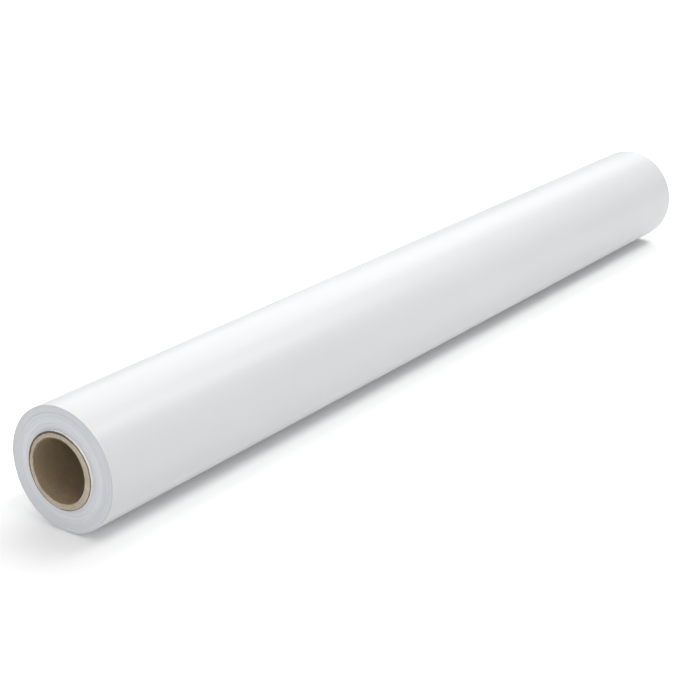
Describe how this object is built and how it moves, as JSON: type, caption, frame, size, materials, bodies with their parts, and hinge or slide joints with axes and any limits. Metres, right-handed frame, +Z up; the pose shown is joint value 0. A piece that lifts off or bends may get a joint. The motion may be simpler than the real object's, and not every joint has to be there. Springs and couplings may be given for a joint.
{
  "type": "roll of sign vinyl",
  "caption": "Wide roll of glossy white self-adhesive sign vinyl on a paper liner, wound on a paperboard core, with a tail that lifts and a film edge that peels.",
  "frame": {"origin": "middle of the core's bore, half way along the roll", "axes": "+X along the roll's axis, +Z up as it lies on its side, +Y towards the side where the tail's edge is"},
  "size_m": [1.379, 0.149, 0.1488],
  "materials": {
    "kraft_board": "raw kraft paperboard, rough cut ends",
    "kraft_wrap": "smooth darker kraft paper, the core's outside ply",
    "tape": "translucent double-sided tape",
    "web_edges": "cut edges of film and liner, finely ringed, satin",
    "liner": "silicone-coated release paper, satin",
    "adhesive": "clear pressure-sensitive adhesive, wet gloss",
    "face_film": "glossy white calendered vinyl"
  },
  "bodies": {
    "roll": {"core_ply_01": "kraft_board", "core_ply_02": "kraft_board", "core_ply_03": "kraft_board", "core_ply_04": "kraft_board", "core_ply_05": "kraft_board", "core_ply_06": "kraft_board", "core_ply_07": "kraft_board", "core_ply_08": "kraft_board", "core_ply_09": "kraft_board", "core_ply_10": "kraft_wrap", "start_tape": "tape", "first_turn_liner": "liner", "first_turn_adhesive": "adhesive", "first_turn_film": "face_film", "wound_turns": "web_edges", "outer_turn_liner": "liner", "outer_turn_adhesive": "adhesive", "outer_turn_film": "face_film"},
    "tail": {"tail_liner": "liner", "tail_adhesive": "adhesive", "tail_film": "face_film"},
    "peel_strip": {"peel_adhesive": "adhesive", "peel_film": "face_film"}
  },
  "joints": [
    {"name": "tail_lift", "type": "hinge", "parent": "roll", "child": "tail", "pos_m": [0, 0.03951, 0.06324], "axis": [1, 0, 0], "range_deg": [0, 75]},
    {"name": "film_peel", "type": "hinge", "parent": "tail", "child": "peel_strip", "pos_m": [0, 0.07016, 0.02554], "axis": [1, 0, 0], "range_deg": [0, 120]}
  ]
}
